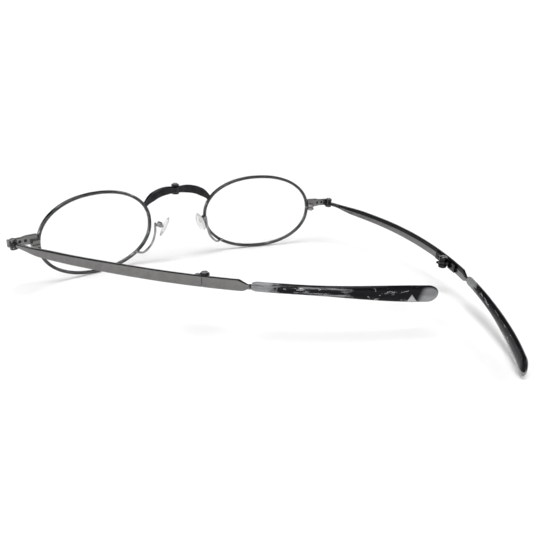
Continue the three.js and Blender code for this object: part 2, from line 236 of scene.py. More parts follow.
# ---------- pieces ----------
def mesh_object(name, skins, matrix, keep_local=None):
    """One object from a list of skins. Its local attribute holds each point's place for the materials."""
    mesh = bpy.data.meshes.new(name)
    points, faces = [], []
    for skin_points, skin_faces in skins:
        start = len(points)
        points += skin_points
        faces += [tuple(start + i for i in face) for face in skin_faces]
    mesh.from_pydata([(matrix @ p) * MM for p in points], [], faces)
    local = mesh.attributes.new("local", "FLOAT_VECTOR", "POINT")
    for i, p in enumerate(points):
        local.data[i].vector = keep_local(p) if keep_local else p
    fix_normals(mesh)
    obj = bpy.data.objects.new(name, mesh)
    bpy.context.scene.collection.objects.link(obj)
    return obj


def fix_normals(mesh):
    bm = bmesh.new()
    bm.from_mesh(mesh)
    bmesh.ops.remove_doubles(bm, verts=bm.verts, dist=1e-9)
    bmesh.ops.recalc_face_normals(bm, faces=bm.faces)
    bm.to_mesh(mesh)
    bm.free()


def carve(obj, skins, matrix):
    """Cuts each skin's volume out of the object."""
    for skin in skins:
        tool = mesh_object("cutter", [skin], matrix)
        cut = obj.modifiers.new("cut", "BOOLEAN")
        cut.operation, cut.solver, cut.object = "DIFFERENCE", "EXACT", tool
        bpy.context.view_layer.update()
        result = bpy.data.meshes.new_from_object(obj.evaluated_get(bpy.context.evaluated_depsgraph_get()))
        obj.modifiers.clear()
        obj.data = result
        tool_mesh = tool.data
        bpy.data.objects.remove(tool)
        bpy.data.meshes.remove(tool_mesh)


def finish_piece(obj, body, material, sharp=38):
    """Shades an object, gives it its material and puts it on its body."""
    for face in obj.data.polygons:
        face.use_smooth = True
    obj.data.set_sharp_from_angle(angle=deg(sharp))
    obj.data.materials.clear()
    obj.data.materials.append(material)
    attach(obj, body)


def piece(obj, body, material, slot, *nodes, sharp=38):
    """A finished piece that stands for solids of the frame."""
    finish_piece(obj, body, material, sharp)
    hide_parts(*nodes)


# ---------- materials ----------
class Shader:
    """A Principled material with a few short ways to add nodes to it."""

    def __init__(self, name, **values):
        self.material = bpy.data.materials.new(name)
        self.material.use_nodes = True
        self.nodes = self.material.node_tree.nodes
        self.links = self.material.node_tree.links
        self.bsdf = self.nodes["Principled BSDF"]
        for key, value in values.items():
            self.bsdf.inputs[key.replace("_", " ")].default_value = value

    def place(self, scale=(1, 1, 1)):
        """The point's place on its own piece, in millimetres, times a scale."""
        source = self.nodes.new("ShaderNodeAttribute")
        source.attribute_name = "local"
        mapping = self.nodes.new("ShaderNodeMapping")
        mapping.inputs["Scale"].default_value = scale
        self.links.new(source.outputs["Vector"], mapping.inputs["Vector"])
        return mapping.outputs["Vector"]

    def split(self):
        node = self.nodes.new("ShaderNodeSeparateXYZ")
        self.links.new(self.place(), node.inputs["Vector"])
        return node.outputs["X"], node.outputs["Y"], node.outputs["Z"]

    def noise(self, scale, detail=3, rough=0.55, stretch=(1, 1, 1), distortion=0.0):
        node = self.nodes.new("ShaderNodeTexNoise")
        node.inputs["Scale"].default_value = scale
        node.inputs["Detail"].default_value = detail
        node.inputs["Roughness"].default_value = rough
        node.inputs["Distortion"].default_value = distortion
        self.links.new(self.place(stretch), node.inputs["Vector"])
        return node.outputs["Fac"]

    def remap(self, value, low, high, to_low, to_high, smooth=False):
        node = self.nodes.new("ShaderNodeMapRange")
        node.interpolation_type = "SMOOTHSTEP" if smooth else "LINEAR"
        for key, number in zip(("From Min", "From Max", "To Min", "To Max"), (low, high, to_low, to_high)):
            node.inputs[key].default_value = number
        self.links.new(value, node.inputs["Value"])
        return node.outputs["Result"]

    def math(self, kind, a, b):
        node = self.nodes.new("ShaderNodeMath")
        node.operation = kind
        for socket, value in zip(node.inputs, (a, b)):
            if isinstance(value, (int, float)):
                socket.default_value = value
            else:
                self.links.new(value, socket)
        return node.outputs[0]

    def mix(self, factor, first, second):
        node = self.nodes.new("ShaderNodeMix")
        node.data_type = "RGBA"
        self.links.new(factor, node.inputs["Factor"])
        for key, value in (("A", first), ("B", second)):
            socket = [s for s in node.inputs if s.name == key and s.type == "RGBA"][0]
            if isinstance(value, tuple):
                socket.default_value = (*value, 1)
            else:
                self.links.new(value, socket)
        return [s for s in node.outputs if s.type == "RGBA"][0]

    def to(self, output, key):
        self.links.new(output, self.bsdf.inputs[key])

    def bump(self, height, strength, distance=0.00002):
        node = self.nodes.new("ShaderNodeBump")
        node.inputs["Strength"].default_value = strength
        node.inputs["Distance"].default_value = distance
        self.links.new(height, node.inputs["Height"])
        self.to(node.outputs["Normal"], "Normal")

    def edges(self):
        node = self.nodes.new("ShaderNodeNewGeometry")
        return node.outputs["Pointiness"]


def metal(name, dark, light, rough, brush=(30, 1.2, 30), bump=0.25, abrasion_and_highlight_tone=(0.5, 0.49, 0.47), rim=None):
    """Plated metal: fine brushing, cloudy tone, and lighter edges, partly abrasion of the plating and partly
    painted highlight. Where rim gives a tone, it is a strip's metal with painted shade: a dark band painted
    along the upper edge, more so near the hinge and on the inside face."""
    shader = Shader(name, Metallic=1.0)
    lines = shader.noise(1.0, detail=4, rough=0.6, stretch=brush)
    cloud = shader.noise(0.45)
    scratch_noise = shader.noise(2.2, detail=2, rough=0.5, stretch=(6, 0.35, 5), distortion=0.6)
    scratch = shader.remap(scratch_noise, 0.66, 0.74, 0, 1)
    tone = shader.mix(shader.remap(cloud, 0.35, 0.65, 0, 1), dark, light)
    # Lighter colour on pointy edges: partly abrasion of the plating, partly painted highlight.
    abraded_and_highlit = shader.remap(shader.edges(), 0.53, 0.62, 0, 0.55, smooth=True)
    abraded_and_highlit_share = shader.math("MULTIPLY", abraded_and_highlit, shader.remap(cloud, 0.3, 0.6, 0.3, 1))
    tone = shader.mix(abraded_and_highlit_share, tone, abrasion_and_highlight_tone)
    # Painted shade: the strip's rim tone darkens a band along the upper edge, wider near the hinge and on
    # the inside face.
    if rim:
        across, along, height = shader.split()
        shade_near_hinge = shader.remap(along, 4, 50, 0.32, 0.03)
        inside = shader.remap(across, -0.3, 0.0, 0.62, 0.0)
        height = shader.math("ADD", height, shader.math("ADD", shade_near_hinge, inside))
        ragged_shade_height = shader.math("ADD", height, shader.remap(cloud, 0.3, 0.7, -0.012, 0.012))
        tone = shader.mix(shader.remap(ragged_shade_height, 0.86, 0.93, 0, 1, smooth=True), tone, rim)
    shader.to(tone, "Base Color")
    base = shader.remap(lines, 0.3, 0.7, rough - 0.06, rough + 0.08)
    shader.to(shader.math("SUBTRACT", base, shader.math("MULTIPLY", scratch, 0.05)), "Roughness")
    shader.bump(shader.math("SUBTRACT", lines, shader.math("MULTIPLY", scratch, 0.4)), bump)
    return shader.material


def acetate():
    """Black and clear marbled acetate. It is clear at its start, and in streaks and flecks along it. On the
    outside it has a clear wedge and a grey end, and on the inside a clear lower flank."""
    shader = Shader("marbled_acetate", IOR=1.49, Specular_IOR_Level=0.08)
    across, along, height = shader.split()
    outside = shader.remap(across, -0.4, 0.1, 0, 1)
    inside = shader.math("SUBTRACT", 1, outside)
    wobble_noise = shader.noise(1.1, rough=0.6, stretch=(0.6, 0.35, 0.8), distortion=0.8)
    shifted = shader.math("ADD", along, shader.remap(wobble_noise, 0.3, 0.7, -1.6, 1.6))

    start = shader.remap(shifted, 83.6, 86.6, 0.5, 0, smooth=True)
    streak_noise = shader.noise(1.0, stretch=(1.6, 0.11, 1.5), distortion=0.8)
    streaks = shader.remap(streak_noise, 0.57, 0.62, 0, 0.9, smooth=True)
    streaks = shader.math("MULTIPLY", streaks, shader.remap(shifted, 100, 104, 1, 0, smooth=True))
    fleck_noise = shader.noise(1.0, stretch=(1.2, 0.30, 1.6), distortion=1.2)
    flecks = shader.remap(fleck_noise, 0.635, 0.67, 0, 1, smooth=True)

    wedge_y, wedge_slope = 117.2, 0.75
    from_wedge = shader.math("ABSOLUTE", shader.math("SUBTRACT", along, wedge_y), 0)
    rise = shader.math("MULTIPLY", from_wedge, wedge_slope)
    wedge = shader.remap(shader.math("ADD", rise, height), -0.12, 0.06, 1, 0, smooth=True)
    slanted = shader.math("SUBTRACT", along, shader.math("MULTIPLY", height, 0.8))
    end = shader.remap(slanted, 118.6, 120.6, 0, 0.42, smooth=True)
    flank = shader.math("MULTIPLY", shader.remap(shifted, 104, 110, 0, 0.75, smooth=True),
                        shader.remap(height, -0.45, -0.15, 1, 0, smooth=True))

    ends = shader.math("MULTIPLY", shader.math("MAXIMUM", end, wedge), outside)
    sides = shader.math("MULTIPLY", flank, inside)
    lengthwise = shader.math("MAXIMUM", flecks, streaks)
    marks = shader.math("MAXIMUM", lengthwise, shader.math("MAXIMUM", ends, sides))
    below_crown = shader.remap(height, 0.55, 0.85, 1, 0, smooth=True)
    clear = shader.math("MAXIMUM", start, shader.math("MULTIPLY", marks, below_crown))
    shader.to(shader.mix(clear, (0.006, 0.006, 0.007), (0.60, 0.61, 0.62)), "Base Color")
    shader.to(shader.math("MULTIPLY", clear, 0.85), "Transmission Weight")
    polish = shader.noise(3.0)
    shader.to(shader.remap(polish, 0.3, 0.7, 0.07, 0.14), "Roughness")
    shader.bump(polish, 0.08)
    return shader.material


def lens_material():
    """Clear lens: nearly see-through by its alpha, with a faint haze."""
    shader = Shader("lens_clear", Base_Color=(0.93, 0.96, 0.97, 1), Roughness=0.02, IOR=1.5,
                    Specular_IOR_Level=0.7)
    haze = shader.noise(0.25, detail=2)
    shader.to(shader.remap(haze, 0.3, 0.7, 0.05, 0.08), "Alpha")
    shader.bump(haze, 0.02)
    return shader.material


def silicone():
    """Soft clear silicone with a cloudy tone."""
    shader = Shader("pad_silicone", IOR=1.42, Transmission_Weight=0.75)
    cloud = shader.noise(0.8)
    shader.to(shader.mix(cloud, (0.80, 0.81, 0.80), (0.93, 0.94, 0.93)), "Base Color")
    shader.to(shader.remap(shader.noise(1, detail=2), 0.3, 0.7, 0.16, 0.24), "Roughness")
    shader.bump(shader.noise(1.2, detail=2), 0.05)
    return shader.material


SATIN_TONES = (0.160, 0.158, 0.155), (0.182, 0.180, 0.177)
GUNMETAL = metal("gunmetal_satin", *SATIN_TONES, rough=0.25)
# This strip metal has a painted band of shade along its upper edge.
STRIP_METAL_SHADED_EDGE = metal("gunmetal_strip_shaded_edge", *SATIN_TONES, rough=0.25, rim=(0.018, 0.018, 0.018))
RIM_METAL = metal("gunmetal_rim", (0.05, 0.05, 0.052), (0.08, 0.08, 0.083), rough=0.17,
                  brush=(8, 8, 8), bump=0.12)
DARK = metal("gunmetal_dark", (0.020, 0.020, 0.021), (0.032, 0.032, 0.034), rough=0.13, brush=(6, 6, 6),
             bump=0.1, abrasion_and_highlight_tone=(0.3, 0.29, 0.28))
DARK_SATIN = metal("gunmetal_dark_satin", (0.035, 0.035, 0.036), (0.06, 0.06, 0.062), rough=0.2,
                   brush=(8, 8, 8), bump=0.15)
STEEL = metal("screw_steel", (0.17, 0.17, 0.175), (0.24, 0.24, 0.245), rough=0.22, brush=(10, 10, 10),
              bump=0.18, abrasion_and_highlight_tone=(0.5, 0.5, 0.5))
WIRE = metal("arm_steel", (0.20, 0.20, 0.205), (0.28, 0.28, 0.285), rough=0.18, brush=(12, 12, 12),
             bump=0.1, abrasion_and_highlight_tone=(0.45, 0.45, 0.45))
ACETATE, LENS, SILICONE = acetate(), lens_material(), silicone()


# ---------- front ----------
def oval_point(t, grow=0.0):
    """A point on the rim's oval at an angle, along the lens plane and up."""
    def reach(value, half):
        return (half + grow) * math.copysign(abs(value) ** (2 / RIM_POWER), value)
    return reach(math.cos(t), RIM_A), reach(math.sin(t), RIM_B)


def lens_plane(along, behind, up):
    """Point in front coordinates from the distance along the lens plane, behind it and above its middle."""
    return Vector((LENS_CENTRE + along * math.cos(WRAP) - behind * math.sin(WRAP),
                   along * math.sin(WRAP) + behind * math.cos(WRAP), up))


def beside(p):
    """Point in front coordinates from its place beside the rim's outer end."""
    return lens_plane(RIM_A + p.x, p.y, p.z)


def rim_skin():
    """The rim wire: an oval loop, open at the lock, with the lens groove round its inside."""
    a, b = RIM_WIRE / 2, RIM_DEPTH / 2
    section = rounded(a, b, RIM_ROUND, 5)
    groove = [(-a, GROOVE_MOUTH), (-a + GROOVE_DEPTH, GROOVE_FLOOR),
              (-a + GROOVE_DEPTH, -GROOVE_FLOOR), (-a, -GROOVE_MOUTH)]
    half = len(section) // 2
    section = section[:half] + groove + section[half:]

    def turn_at(height):
        return math.asin((height / RIM_B) ** (RIM_POWER / 2))

    first = turn_at(SPLIT_Z + SPLIT_HALF)
    last = 2 * math.pi + turn_at(SPLIT_Z - SPLIT_HALF)
    rings = []
    steps, nudge = 200, 0.004
    for i in range(steps + 1):
        t = first + (last - first) * i / steps
        x0, z0 = oval_point(t - nudge)
        x1, z1 = oval_point(t + nudge)
        x, z = oval_point(t)
        out = Vector((z1 - z0, x0 - x1)).normalized()
        rings.append([lens_plane(x + out.x * r, d, z + out.y * r) for r, d in section])
    return loft(rings)


def lens_skin():
    """A meniscus blank: both faces curved, with a bevel round the edge that sits in the groove."""
    edge = -RIM_WIRE / 2 - LENS_SLACK
    bevel = -RIM_WIRE / 2 + BEVEL_REACH
    turns_round = [2 * math.pi * k / 120 for k in range(120)]
    scales = [0.02, 0.15, 0.3, 0.45, 0.6, 0.75, 0.88, 0.96]

    def sag(scale, depth):
        return -depth * (1 - scale ** 2)

    def ring(scale, behind, grow=edge):
        outline = [oval_point(t, grow) for t in turns_round]
        return [lens_plane(x * scale, behind, z * scale) for x, z in outline]

    front = [ring(scale, -LENS_HALF + sag(scale, FRONT_SAG)) for scale in scales]
    rim = [ring(1, -LENS_HALF), ring(1, -BEVEL_HALF), ring(1, 0, bevel), ring(1, BEVEL_HALF),
           ring(1, LENS_HALF)]
    back = [ring(scale, LENS_HALF + sag(scale, BACK_SAG)) for scale in reversed(scales)]
    return loft(front + rim + back)


def plate_along(low, high, r, warp, steps):
    """A rounded plate lengthwise along its first axis."""
    (x0, y0, z0), (x1, y1, z1) = low, high
    skin_points, skin_faces = block((y0, x0, z0), (y1, x1, z1), r, None, steps)
    return [warp(Vector((p.y, p.x, p.z))) for p in skin_points], skin_faces


def smooth(value, low, high):
    """Eases from 0 at low to 1 at high."""
    t = min(1, max(0, (value - low) / (high - low)))
    return t * t * (3 - 2 * t)


def screw_head(z, radius, height):
    """The outline of a domed head that stands at z."""
    return [(radius, z), (radius, z + height * 0.45), (radius * 0.94, z + height * 0.75),
            (radius * 0.78, z + height * 0.95), (radius * 0.6, z + height)]


def screw(name, matrix, low, head_z, shank, radius, height, axis=None, at=(0, 0, 0), turn=0.6):
    """A slotted screw, its head up along the axis."""
    profile = [(shank * 0.6, low), (shank * 0.9, low + 0.08), (shank, low + 0.2), (shank, head_z)]
    obj = mesh_object(name, [lathe(profile + screw_head(head_z, radius, height), axis, at, 36)], matrix)
    spin = Vector((0, 0, 1)).rotation_difference(axis) if axis else None
    at = Vector(at)

    def warp(p):
        cos, sin = math.cos(turn), math.sin(turn)
        p = Vector((p.x * cos - p.y * sin, p.x * sin + p.y * cos, p.z))
        return at + (spin @ p if spin else p)

    half_width, half_length = 0.13, radius * 1.3
    slot = block((-half_width, -half_length, head_z + height * 0.45),
                 (half_width, half_length, head_z + height * 2), 0.02, warp)
    carve(obj, [slot], matrix)
    return obj


def build_front(side, sign, axis):
    body = f"front_{side}"
    matrix = FRONT @ Matrix.Diagonal((sign, 1, 1, 1))
    wire = mesh_object(f"rim_wire_{side}", [rim_skin()], matrix)
    piece(wire, body, RIM_METAL, "gunmetal", f"rim_{side}", sharp=50)
    blank = mesh_object(f"lens_blank_{side}", [lens_skin()], matrix)
    piece(blank, body, LENS, "lens", f"lens_{side}")
    build_endpiece(side, body, matrix, axis)
    build_lock(side, body, matrix)
    hinge_screw = screw(f"temple_screw_slotted_{side}", matrix, -KNUCKLE_HALF - 0.2, KNUCKLE_HALF + TOUCH,
                        shank=0.45, radius=0.85, height=0.3, axis=axis, at=HINGE, turn=0.5)
    piece(hinge_screw, body, STEEL, "bright_steel", f"temple_screw_{side}")
    build_bridge(side, sign, body, matrix)
    build_pad(side, sign, body, matrix)


def build_endpiece(side, body, matrix, axis):
    """The plate beside the rim with the upper lock lug, its two hinge knuckles and its rivets."""
    def tapered(p):
        """The endpiece is full height beside the rim and lower towards its hinge."""
        share = 1 - TAPER * smooth(p.x, TAPER_START, TAPER_END)
        return beside(Vector((p.x, p.y, HINGE.z + (p.z - HINGE.z) * share)))

    plate = plate_along((PLATE_START, -PLATE_DEEP, HINGE.z - PLATE_HALF),
                        (PLATE_END, PLATE_DEEP, HINGE.z + PLATE_HALF), 0.26, tapered, 24)
    lug = block((LOCK_START, LUG_FRONT, SPLIT_Z + SPLIT_HALF), (LOCK_END, LOCK_BACK, LOCK_HIGH), 0.2, beside)
    knuckles = [collar(KNUCKLE_R - 0.02, low, high, axis=axis, at=HINGE)
                for low, high in ((-KNUCKLE_HALF, -KNUCKLE_SPLIT), (KNUCKLE_SPLIT, KNUCKLE_HALF))]
    saddle = [block((SADDLE_START, SADDLE_FRONT, HINGE.z + low), (SADDLE_END, SADDLE_BACK, HINGE.z + high),
                    0.16, beside)
              for low, high in ((-SADDLE_HALF, -KNUCKLE_SPLIT), (KNUCKLE_SPLIT, SADDLE_HALF))]
    barrels = mesh_object(f"endpiece_knuckles_{side}", [*saddle, *knuckles], matrix)
    finish_piece(barrels, body, DARK_SATIN)
    end = mesh_object(f"endpiece_plate_{side}", [plate, lug], matrix)
    piece(end, body, GUNMETAL, "gunmetal", f"endpiece_{side}")

    rearward = Vector((-math.sin(WRAP), math.cos(WRAP), 0))
    rivets = [lathe(RIVET_PROFILE, rearward, beside(Vector((along, 0, HINGE.z)))) for along in RIVET_PLACES]
    studs = mesh_object(f"endpiece_rivets_{side}", rivets, matrix)
    finish_piece(studs, body, DARK)


def build_lock(side, body, matrix):
    """The lower block that closes the rim, and the screw that comes up through it."""
    lower = block((LOCK_START, -PLATE_DEEP, LOCK_LOW), (LOCK_END, LOCK_BACK, SPLIT_Z - SPLIT_HALF),
                  0.2, beside)
    lock = mesh_object(f"rim_lock_block_{side}", [lower], matrix)
    piece(lock, body, GUNMETAL, "gunmetal", f"rim_lock_{side}")
    rim_screw = screw(f"rim_screw_slotted_{side}", matrix, -1.5, -LOCK_LOW + TOUCH, shank=0.37, radius=0.6,
                      height=0.25, axis=Vector((0, 0, -1)), at=beside(LOCK_SCREW), turn=0.9)
    piece(rim_screw, body, STEEL, "bright_steel", f"rim_screw_{side}")


def build_bridge(side, sign, body, matrix):
    """Half of the bridge: a bar curved from the rim to the middle, and its knuckles on the bridge axis."""
    a, b, c = BRIDGE_CURVE
    rings = []
    steps = 40
    for i in range(steps + 1):
        t = i / steps
        point = a * (1 - t) ** 2 + b * 2 * t * (1 - t) + c * t * t
        tangent = ((b - a) * (1 - t) + (c - b) * t).normalized()
        across = (Vector((0, 1, 0)) - tangent * tangent.y).normalized()
        up = across.cross(tangent)
        tall = 0.85 + 0.6 * smooth(t, 0, 0.35) - 0.3 * smooth(t, 0.7, 1)
        deep = 0.62 + 0.28 * smooth(t, 0, 0.35)
        rings.append([point + across * u + up * v for u, v in rounded(deep, tall, 0.58, 5)])
    z = BRIDGE_AXIS.z
    outer = [(z - BRIDGE_HALF, z - BRIDGE_SPLIT), (z + BRIDGE_SPLIT, z + BRIDGE_HALF)]
    middle = [(z - BRIDGE_SPLIT + GAP, z + BRIDGE_SPLIT - GAP)]
    mine, theirs = (outer, middle) if sign > 0 else (middle, outer)
    at = (BRIDGE_AXIS.x, BRIDGE_AXIS.y, 0)
    bar = mesh_object(f"bridge_bar_{side}", [loft(rings)], matrix)
    reach = BRIDGE_R + 0.1
    clear = [lathe([(reach, low - GAP), (reach, high + GAP)], at=at) for low, high in theirs]
    clear.append(lathe([(BORE, z - 4), (BORE, z + 4)], at=at))
    carve(bar, clear, matrix)
    piece(bar, body, DARK, "dark_metal", f"bridge_half_{side}")
    collars = [collar(BRIDGE_R, low, high, at=at) for low, high in mine]
    knuckles = mesh_object(f"bridge_knuckle_{side}", collars, matrix)
    finish_piece(knuckles, body, DARK)


def cushion_skin():
    """The teardrop pad: narrower at its top, and fuller towards the nose than towards its box."""
    rings = []
    count, sides = 18, 36
    for i in range(1, count):
        latitude = math.pi * i / count
        z, spread = math.cos(latitude), math.sin(latitude)
        ring = []
        for k in range(sides):
            t = 2 * math.pi * k / sides
            face = math.cos(t) * spread
            thick = PAD_FACE if face < 0 else PAD_BACK
            wide = math.sin(t) * spread * PAD_WIDE * (1 - PAD_TAPER * z)
            ring.append(Vector((PAD_X + face * thick, wide, z * PAD_HALF)))
        rings.append(ring)
    return loft(rings)


def build_pad(side, sign, body, matrix):
    """The pad's arm and box on the front, its screw, and the silicone pad that rocks on it."""
    pad = turned_frame(sign, PAD_CENTRE, PAD_TURN)
    to_front = Matrix.Translation(PAD_CENTRE) @ turns(*PAD_TURN)
    path = catmull([*PAD_ARM, to_front @ PAD_ARM_END], 12)
    arm = mesh_object(f"pad_arm_wire_{side}", [tube(path, PAD_ARM_R)], matrix)
    piece(arm, body, WIRE, "bright_steel", f"pad_arm_{side}")

    wall = block((BOX_WALL, -BOX_WIDE, -BOX_HALF), (BOX_END, BOX_WIDE, BOX_HALF), 0.14)
    cheeks = [block((CHEEK_START, low, -BOX_HALF), (CHEEK_END, high, BOX_HALF), 0.12)
              for low, high in ((-BOX_WIDE, -CHEEK_INSIDE), (CHEEK_INSIDE, BOX_WIDE))]
    cup = mesh_object(f"pad_cup_{side}", [wall, *cheeks], pad)
    piece(cup, body, WIRE, "bright_steel", f"pad_box_{side}")
    pad_screw = screw(f"pad_screw_slotted_{side}", pad, -1.15, BOX_WIDE + TOUCH, shank=0.32, radius=0.6,
                      height=0.28, axis=Vector((0, 1, 0)), at=(0.4, 0, 0), turn=0.4)
    piece(pad_screw, body, STEEL, "bright_steel", f"pad_screw_{side}")

    stud = block(STUD_LOW, STUD_HIGH, 0.14)
    cushion = mesh_object(f"nose_pad_cushion_{side}", [cushion_skin(), stud], pad)
    piece(cushion, f"pad_{side}", SILICONE, "silicone", f"nose_pad_{side}", sharp=60)


# ---------- temples ----------
# A temple's own coordinates start at its hinge: Y along it, X outwards and Z up.
def bow(y):
    """How far inwards the temple's middle line lies at y."""
    return -0.219 * y + 0.00143 * y ** 2.2


def lift(y):
    """The height of the temple's middle line at y."""
    return -0.0049 * max(0, y - 30) ** 1.5


# This height also places the strip metal's painted band of shade along the upper edge.
def strip_local(top, bottom):
    """Place on a strip with its height as a share of the strip's half height."""
    def local(p):
        z = p.z - lift(p.y)
        return Vector((p.x + bow(p.y), p.y, z / (top(p.y) if z > 0 else bottom(p.y))))
    return local


def strip(low, high, thick, top, bottom, r, steps, inward=0.0):
    """A flat strip along the temple's line, or a distance inward of it. Top and bottom are half heights."""
    rings = []
    for y, inset in stations(low, high, r, steps):
        t, b = top(y) - inset, bottom(y) - inset
        outline = rounded(thick - inset, (t + b) / 2, max(0.02, r - inset))
        rings.append([Vector((-bow(y) - inward + px, y, lift(y) + (t - b) / 2 + pz)) for px, pz in outline])
    return loft(rings)


def even(half):
    """A half height that is the same all along a strip."""
    return lambda y: half


FOLD_X, FOLD_Z = -bow(FOLD_Y) - FOLD_OFFSET, lift(FOLD_Y)


def fold_leaf(low, high, neck_low, neck_high, bands):
    """A leaf of the fold hinge inside its strip, with a knuckle and a neck for each band of height."""
    inner = STRIP_THICK + TOUCH
    edge = -bow(neck_high) - inner - 0.05
    if neck_low < FOLD_Y:
        neck_start, neck_end = neck_low, FOLD_Y - 0.7
    else:
        neck_start, neck_end = FOLD_Y + 0.7, neck_high
    skins = [strip(low, high, LEAF_THICK, even(LEAF_HALF), even(LEAF_HALF), 0.16, 8,
                   inward=inner + LEAF_THICK)]
    for start, stop in bands:
        skins.append(collar(FOLD_R, FOLD_Z + start, FOLD_Z + stop, at=(FOLD_X, FOLD_Y, 0), r=0.34))
        neck_bottom, neck_top = FOLD_Z + max(start, -LEAF_NECK), FOLD_Z + min(stop, LEAF_NECK)
        skins.append(block((FOLD_X - 0.3, neck_start, neck_bottom), (edge, neck_end, neck_top), 0.1))
    return skins


def tip_size(y):
    """The tip's half thickness and half height, which end in a round nose."""
    nose = math.sqrt(max(0.0, 1 - max(0, (y - TIP_END + TIP_NOSE) / TIP_NOSE) ** 2))
    start = 0.80 + 0.20 * smooth(y, TIP_START, TIP_START + 0.9)
    thick = start * nose * (1.2 + 0.22 * smooth(y, 82, 95))
    tall = start * nose * (1.35 + 1.1 * smooth(y, 92, 118))
    return thick, tall


def tip_skin():
    """The tip: a soft oval section along the temple's line, its crown a little lower towards the end."""
    nose_start = TIP_END - TIP_NOSE
    places = [TIP_START + (nose_start - TIP_START) * k / 60 for k in range(61)]
    places += [TIP_END - TIP_NOSE * (1 - math.sin(math.pi / 2 * k / 10)) for k in range(1, 10)]
    places.append(TIP_END - 0.004)
    sides = 40
    rings = []
    for y in places:
        thick, tall = tip_size(y)
        crown = 1 - 0.1 * smooth(y, 92, 108)
        ring = []
        for k in range(sides):
            t = 2 * math.pi * k / sides
            px = 0.95 * math.cos(t)
            pz = math.copysign(abs(math.sin(t)) ** 0.93, math.sin(t)) * (crown if math.sin(t) > 0 else 1)
            ring.append(Vector((-bow(y) + px * thick, y, lift(y) + pz * tall)))
        rings.append(ring)
    return loft(rings)


def tip_local(p):
    """Place on the tip with its height as a share of the tip's half height."""
    tall = tip_size(p.y)[1]
    return Vector((p.x + bow(p.y), p.y, (p.z - lift(p.y)) / max(tall, 0.2)))


# Half heights of the front strip above and below its line, and of the rear strip, which ends in a neck.
def front_top(y):
    return 0.5 + (STRIP_HALF - 0.8) * smooth(y, STRIP_START, 20) + 0.3 * smooth(y, 16, 50)


def front_bottom(y):
    return 0.6 + (STRIP_HALF - 0.6) * smooth(y, STRIP_START, 13)


def fall(y):
    return min(1, max(0, (y - NECK_START) / (NECK_END - 1 - NECK_START)))


def rear_top(y):
    return STRIP_HALF - (STRIP_HALF - 0.35) * fall(y)


def rear_bottom(y):
    return STRIP_HALF - (STRIP_HALF - 0.9) * fall(y) ** 3


def build_temple(side, sign, pitch, closure, axis):
    matrix = turned_frame(sign, HINGE, (pitch, 0, closure))
    own_axis = (turns(pitch, 0, closure).inverted() @ axis).normalized()
    front, rear = f"temple_front_{side}", f"temple_rear_{side}"
    build_front_strip(side, front, matrix, own_axis)
    build_rear_strip(side, rear, matrix)
    build_fold(side, front, rear, matrix)
    build_tip(side, rear, matrix)


def build_front_strip(side, body, matrix, own_axis):
    """The front half of the temple, and its knuckle between the two of the endpiece."""
    limit = KNUCKLE_SPLIT - GAP
    knuckle = collar(KNUCKLE_R - 0.05, -limit, limit, axis=own_axis)
    root = strip(ROOT_START, ROOT_END, ROOT_THICK, even(ROOT_HALF), even(ROOT_HALF), 0.12, 8,
                 inward=STRIP_THICK + TOUCH + ROOT_THICK)
    leaf = mesh_object(f"temple_leaf_knuckle_{side}", [knuckle, root], matrix)
    piece(leaf, body, DARK_SATIN, "gunmetal", f"temple_leaf_{side}")
    skin = strip(STRIP_START, SEAM - TOUCH, STRIP_THICK, front_top, front_bottom, STRIP_ROUND, 90)
    blade = mesh_object(f"temple_strip_front_{side}", [skin], matrix, strip_local(front_top, front_bottom))
    piece(blade, body, STRIP_METAL_SHADED_EDGE, "gunmetal", f"temple_front_{side}")


def build_rear_strip(side, body, matrix):
    """The rear half of the temple, which narrows to a neck at the tip."""
    skin = strip(SEAM + TOUCH, NECK_END, STRIP_THICK, rear_top, rear_bottom, STRIP_ROUND, 40)
    tail = mesh_object(f"temple_strip_rear_{side}", [skin], matrix, strip_local(rear_top, rear_bottom))
    piece(tail, body, STRIP_METAL_SHADED_EDGE, "gunmetal", f"temple_rear_{side}")


def build_fold(side, front, rear, matrix):
    """The hinge midway along the temple: two knuckles on the front leaf, one on the rear, and a screw."""
    outer = [(-FOLD_HALF, -FOLD_SPLIT), (FOLD_SPLIT, FOLD_HALF)]
    middle = [(-FOLD_SPLIT + 0.05, FOLD_SPLIT - 0.05)]
    front_skins = fold_leaf(*FRONT_LEAF, FRONT_NECK, FOLD_Y, outer)
    leaf_front = mesh_object(f"fold_leaf_outer_{side}", front_skins, matrix)
    piece(leaf_front, front, DARK, "dark_metal", f"fold_leaf_front_{side}")
    rear_skins = fold_leaf(*REAR_LEAF, FOLD_Y, REAR_NECK, middle)
    leaf_rear = mesh_object(f"fold_leaf_inner_{side}", rear_skins, matrix)
    piece(leaf_rear, rear, DARK, "dark_metal", f"fold_leaf_rear_{side}")
    fold_screw = screw(f"fold_screw_slotted_{side}", matrix, FOLD_Z - FOLD_HALF - 0.2,
                       FOLD_Z + FOLD_HALF + TOUCH, shank=BORE, radius=0.9, height=0.3,
                       at=(FOLD_X, FOLD_Y, 0), turn=1.1)
    piece(fold_screw, front, STEEL, "bright_steel", f"fold_screw_{side}")


def build_tip(side, body, matrix):
    """The core wire that runs on from the rear strip, and the acetate tip round it."""
    steps = 40
    start = NECK_END - 0.4
    places = [start + (WIRE_END - NECK_END) * k / steps for k in range(steps + 1)]
    core = [Vector((-bow(y), y, lift(y))) for y in places]
    wire = mesh_object(f"core_wire_round_{side}", [tube(core, lambda share: 0.55 - 0.2 * share)], matrix)
    piece(wire, body, DARK, "dark_metal", f"core_wire_{side}")
    tip = mesh_object(f"temple_tip_marbled_{side}", [tip_skin()], matrix, tip_local)
    piece(tip, body, ACETATE, "acetate", f"temple_tip_{side}", sharp=60)


